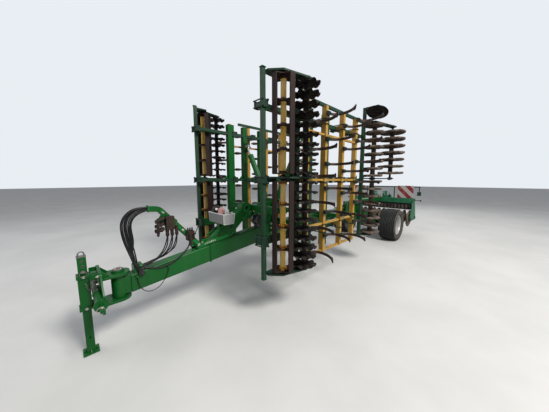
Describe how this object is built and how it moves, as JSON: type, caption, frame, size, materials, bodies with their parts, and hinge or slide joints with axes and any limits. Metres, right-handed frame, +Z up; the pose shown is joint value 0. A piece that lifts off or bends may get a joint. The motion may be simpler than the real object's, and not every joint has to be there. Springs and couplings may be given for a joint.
{
  "type": "folding field cultivator",
  "caption": "Towed field cultivator folded for transport, with upright tine wings, front cage rollers, notched discs, ring rollers and two transport wheels.",
  "frame": {"origin": "on the ground, on the centre line, halfway between the foremost and the rearmost point", "axes": "+Z up, -Y the towing direction, +X the machine's left"},
  "size_m": [2.6712, 7.78, 2.94],
  "materials": {
    "bare_steel": "greased steel",
    "black_paint": "black paint",
    "board": "red and white stripes",
    "chromed_rod": "chromed rod",
    "dark_disc": "black worn steel",
    "dark_tube": "dark green paint",
    "dusty_iron": "iron rings covered in dry soil",
    "faded_green": "faded green paint with dust",
    "green_paint": "semi-gloss green paint, weathered",
    "grey_sheet": "light grey painted sheet",
    "hose_rubber": "black hose",
    "rusty_paint": "rust brown flat steel",
    "silver_rim": "silver paint",
    "spring_steel": "dark spring steel with rust",
    "tyre": "ribbed black rubber",
    "yellow_paint": "yellow paint, worn"
  },
  "bodies": {
    "chassis": {"drawbar": "green_paint", "centre_frame": "green_paint", "front_strut": "green_paint", "tool_box": "grey_sheet", "pressure_bottle": "black_paint", "hose_arm": "green_paint", "coupler_block": "black_paint", "hose_clamp": "green_paint", "rear_frame": "green_paint", "light_rail": "dark_tube", "warning_boards": "board", "hose_bundle": "hose_rubber", "supply_hose_1": "hose_rubber", "supply_hose_2": "hose_rubber", "supply_hose_3": "hose_rubber", "return_hose": "hose_rubber", "lamp_cable": "hose_rubber"},
    "hitch": {"hitch_head": "green_paint", "head_pin": "bare_steel"},
    "stand": {"stand_leg": "green_paint"},
    "axle": {"axle": "green_paint"},
    "lift_barrel": {"lift_barrel": "green_paint"},
    "lift_rod": {"lift_rod": "chromed_rod"},
    "front_centre_roller": {"front_centre_roller": "dusty_iron"},
    "rear_centre_roller": {"rear_centre_roller": "dusty_iron"},
    "left_wing": {"left_wing_frame": "faded_green", "left_tine_frame": "yellow_paint", "left_tines": "spring_steel", "left_tool_carriers": "faded_green"},
    "left_wheel": {"left_wheel_rim": "silver_rim", "left_tyre": "tyre"},
    "left_fold_barrel": {"left_fold_barrel": "green_paint"},
    "left_fold_rod": {"left_fold_rod": "chromed_rod"},
    "left_lower_cage_roller": {"left_lower_cage_roller": "rusty_paint"},
    "left_upper_cage_roller": {"left_upper_cage_roller": "rusty_paint"},
    "left_disc_roller": {"left_disc_roller": "dark_disc"},
    "left_inner_ring_roller": {"left_inner_ring_roller": "dusty_iron"},
    "left_outer_ring_roller": {"left_outer_ring_roller": "dusty_iron"},
    "left_last_ring_roller": {"left_last_ring_roller": "dusty_iron"},
    "left_end_disc": {"left_end_disc": "dark_disc"},
    "right_wing": {"right_wing_frame": "faded_green", "right_tine_frame": "yellow_paint", "right_tines": "spring_steel", "right_tool_carriers": "faded_green"},
    "right_wheel": {"right_wheel_rim": "silver_rim", "right_tyre": "tyre"},
    "right_fold_barrel": {"right_fold_barrel": "green_paint"},
    "right_fold_rod": {"right_fold_rod": "chromed_rod"},
    "right_lower_cage_roller": {"right_lower_cage_roller": "rusty_paint"},
    "right_upper_cage_roller": {"right_upper_cage_roller": "rusty_paint"},
    "right_disc_roller": {"right_disc_roller": "dark_disc"},
    "right_inner_ring_roller": {"right_inner_ring_roller": "dusty_iron"},
    "right_outer_ring_roller": {"right_outer_ring_roller": "dusty_iron"},
    "right_last_ring_roller": {"right_last_ring_roller": "dusty_iron"},
    "right_end_disc": {"right_end_disc": "dark_disc"}
  },
  "joints": [
    {"name": "hitch_swing", "type": "hinge", "parent": "chassis", "child": "hitch", "pos_m": [0, -3.57, 0.6], "axis": [0, 0, 1], "range_deg": [-40, 40]},
    {"name": "stand_slide", "type": "slide", "parent": "hitch", "child": "stand", "axis": [0, 0, 1], "range_m": [0, 0.3]},
    {"name": "axle_lift", "type": "hinge", "parent": "chassis", "child": "axle", "pos_m": [0, 1.7, 0.84], "axis": [1, 0, 0], "range_deg": [0, 25]},
    {"name": "lift_barrel_swing", "type": "hinge", "parent": "chassis", "child": "lift_barrel", "pos_m": [0.14, 0.9, 1.06], "axis": [1, 0, 0], "range_deg": [-1.7, 0]},
    {"name": "lift_rod_slide", "type": "slide", "parent": "lift_barrel", "child": "lift_rod", "axis": [0, 1, 0], "range_m": [-0.0935, 0]},
    {"name": "front_centre_turn", "type": "hinge", "parent": "chassis", "child": "front_centre_roller", "pos_m": [0, 3.22, 0.51], "axis": [1, 0, 0], "continuous": true},
    {"name": "rear_centre_turn", "type": "hinge", "parent": "chassis", "child": "rear_centre_roller", "pos_m": [0, 3.67, 0.51], "axis": [1, 0, 0], "continuous": true},
    {"name": "left_fold", "type": "hinge", "parent": "chassis", "child": "left_wing", "pos_m": [0.58, -0.685, 0.95], "axis": [0, 1, 0], "range_deg": [0, 90]},
    {"name": "left_wheel_turn", "type": "hinge", "parent": "axle", "child": "left_wheel", "pos_m": [0.68, 2.5, 0.43], "axis": [1, 0, 0], "continuous": true},
    {"name": "left_fold_barrel_swing", "type": "hinge", "parent": "chassis", "child": "left_fold_barrel", "pos_m": [0.1, -1.42, 1.28], "axis": [0, 1, 0], "range_deg": [0, 73.55]},
    {"name": "left_fold_rod_slide", "type": "slide", "parent": "left_fold_barrel", "child": "left_fold_rod", "axis": [0.4864, 0, 0.8737], "range_m": [0, 0.714]},
    {"name": "left_lower_cage_roller_turn", "type": "hinge", "parent": "left_wing", "child": "left_lower_cage_roller", "pos_m": [0.94, -2.13, 1.1], "axis": [0, 0, 1], "continuous": true},
    {"name": "left_upper_cage_roller_turn", "type": "hinge", "parent": "left_wing", "child": "left_upper_cage_roller", "pos_m": [0.94, -2.13, 2.2], "axis": [0, 0, 1], "continuous": true},
    {"name": "left_disc_roller_turn", "type": "hinge", "parent": "left_wing", "child": "left_disc_roller", "pos_m": [1.02, -1.835, 1.65], "axis": [0, 0, 1], "continuous": true},
    {"name": "left_inner_ring_roller_turn", "type": "hinge", "parent": "left_wing", "child": "left_inner_ring_roller", "pos_m": [0.94, 0.35, 1.1], "axis": [0, 0, 1], "continuous": true},
    {"name": "left_outer_ring_roller_turn", "type": "hinge", "parent": "left_wing", "child": "left_outer_ring_roller", "pos_m": [0.94, 0.35, 2.2], "axis": [0, 0, 1], "continuous": true},
    {"name": "left_last_ring_roller_turn", "type": "hinge", "parent": "left_wing", "child": "left_last_ring_roller", "pos_m": [1.06, 0.95, 2.2], "axis": [0, 0, 1], "continuous": true},
    {"name": "left_end_disc_turn", "type": "hinge", "parent": "left_wing", "child": "left_end_disc", "pos_m": [1.05, 0.15, 2.85], "axis": [0, 0.4226, 0.9063], "continuous": true},
    {"name": "right_fold", "type": "hinge", "parent": "chassis", "child": "right_wing", "pos_m": [-0.58, -0.685, 0.95], "axis": [0, -1, 0], "range_deg": [0, 90]},
    {"name": "right_wheel_turn", "type": "hinge", "parent": "axle", "child": "right_wheel", "pos_m": [-0.68, 2.5, 0.43], "axis": [1, 0, 0], "continuous": true},
    {"name": "right_fold_barrel_swing", "type": "hinge", "parent": "chassis", "child": "right_fold_barrel", "pos_m": [-0.1, -1.42, 1.28], "axis": [0, -1, 0], "range_deg": [0, 73.55]},
    {"name": "right_fold_rod_slide", "type": "slide", "parent": "right_fold_barrel", "child": "right_fold_rod", "axis": [-0.4864, 0, 0.8737], "range_m": [0, 0.714]},
    {"name": "right_lower_cage_roller_turn", "type": "hinge", "parent": "right_wing", "child": "right_lower_cage_roller", "pos_m": [-0.94, -2.13, 1.1], "axis": [0, 0, 1], "continuous": true},
    {"name": "right_upper_cage_roller_turn", "type": "hinge", "parent": "right_wing", "child": "right_upper_cage_roller", "pos_m": [-0.94, -2.13, 2.2], "axis": [0, 0, 1], "continuous": true},
    {"name": "right_disc_roller_turn", "type": "hinge", "parent": "right_wing", "child": "right_disc_roller", "pos_m": [-1.02, -1.835, 1.65], "axis": [0, 0, 1], "continuous": true},
    {"name": "right_inner_ring_roller_turn", "type": "hinge", "parent": "right_wing", "child": "right_inner_ring_roller", "pos_m": [-0.94, 0.35, 1.1], "axis": [0, 0, 1], "continuous": true},
    {"name": "right_outer_ring_roller_turn", "type": "hinge", "parent": "right_wing", "child": "right_outer_ring_roller", "pos_m": [-0.94, 0.35, 2.2], "axis": [0, 0, 1], "continuous": true},
    {"name": "right_last_ring_roller_turn", "type": "hinge", "parent": "right_wing", "child": "right_last_ring_roller", "pos_m": [-1.06, 0.95, 2.2], "axis": [0, 0, 1], "continuous": true},
    {"name": "right_end_disc_turn", "type": "hinge", "parent": "right_wing", "child": "right_end_disc", "pos_m": [-1.05, 0.15, 2.85], "axis": [0, 0.4226, 0.9063], "continuous": true}
  ],
  "couplings": [
    {"joint": "lift_barrel_swing", "follows": "axle_lift", "ratio": -0.0668},
    {"joint": "lift_rod_slide", "follows": "axle_lift", "m_per_rad": -0.2125},
    {"joint": "left_fold_barrel_swing", "follows": "left_fold", "ratio": 0.81393},
    {"joint": "left_fold_rod_slide", "follows": "left_fold", "m_per_rad": 0.4533},
    {"joint": "right_fold_barrel_swing", "follows": "right_fold", "ratio": 0.81393},
    {"joint": "right_fold_rod_slide", "follows": "right_fold", "m_per_rad": 0.4533}
  ]
}
